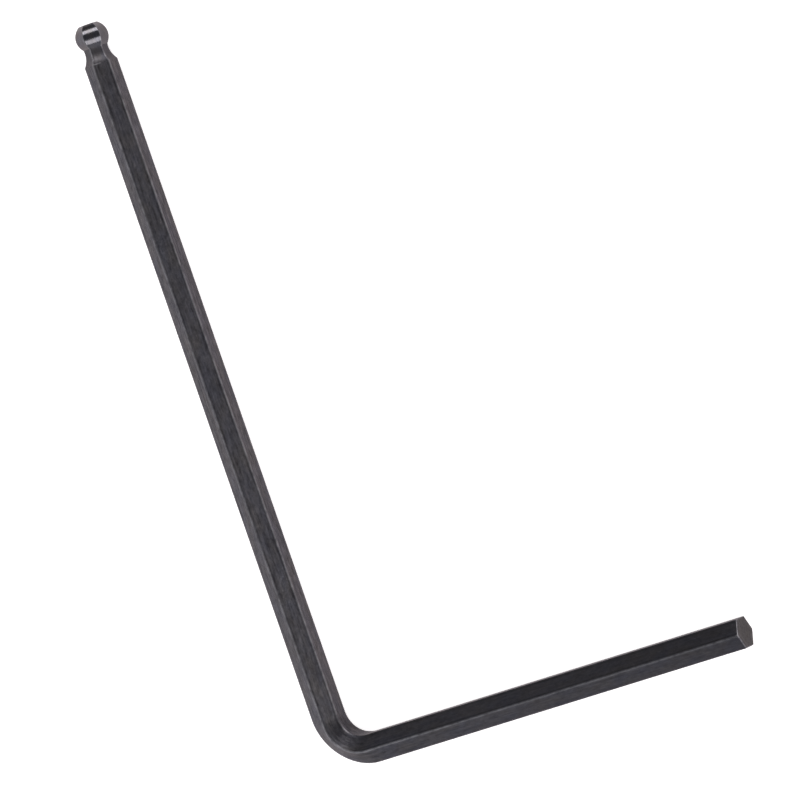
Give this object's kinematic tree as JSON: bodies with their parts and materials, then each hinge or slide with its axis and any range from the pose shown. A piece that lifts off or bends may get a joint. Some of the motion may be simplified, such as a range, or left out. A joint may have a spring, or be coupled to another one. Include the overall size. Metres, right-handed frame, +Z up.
{
  "type": "hex key",
  "caption": "L-shaped hexagonal key with a ball end on its long arm and a plain bevelled end on its short arm, for turning socket-head screws.",
  "frame": {"origin": "centre of the bounding box in X and Y, on the surface that the key lies on", "axes": "+X along the short arm towards its plain end, +Y along the long arm towards its ball end, +Z up out of the plane of the L"},
  "size_m": [0.0816, 0.132, 0.0057],
  "materials": {
    "black_oxide_steel": "hardened alloy steel with a satin black oxide finish, drawn grain along the bar"
  },
  "bodies": {
    "root": {"hex_key": "black_oxide_steel"}
  },
  "joints": []
}
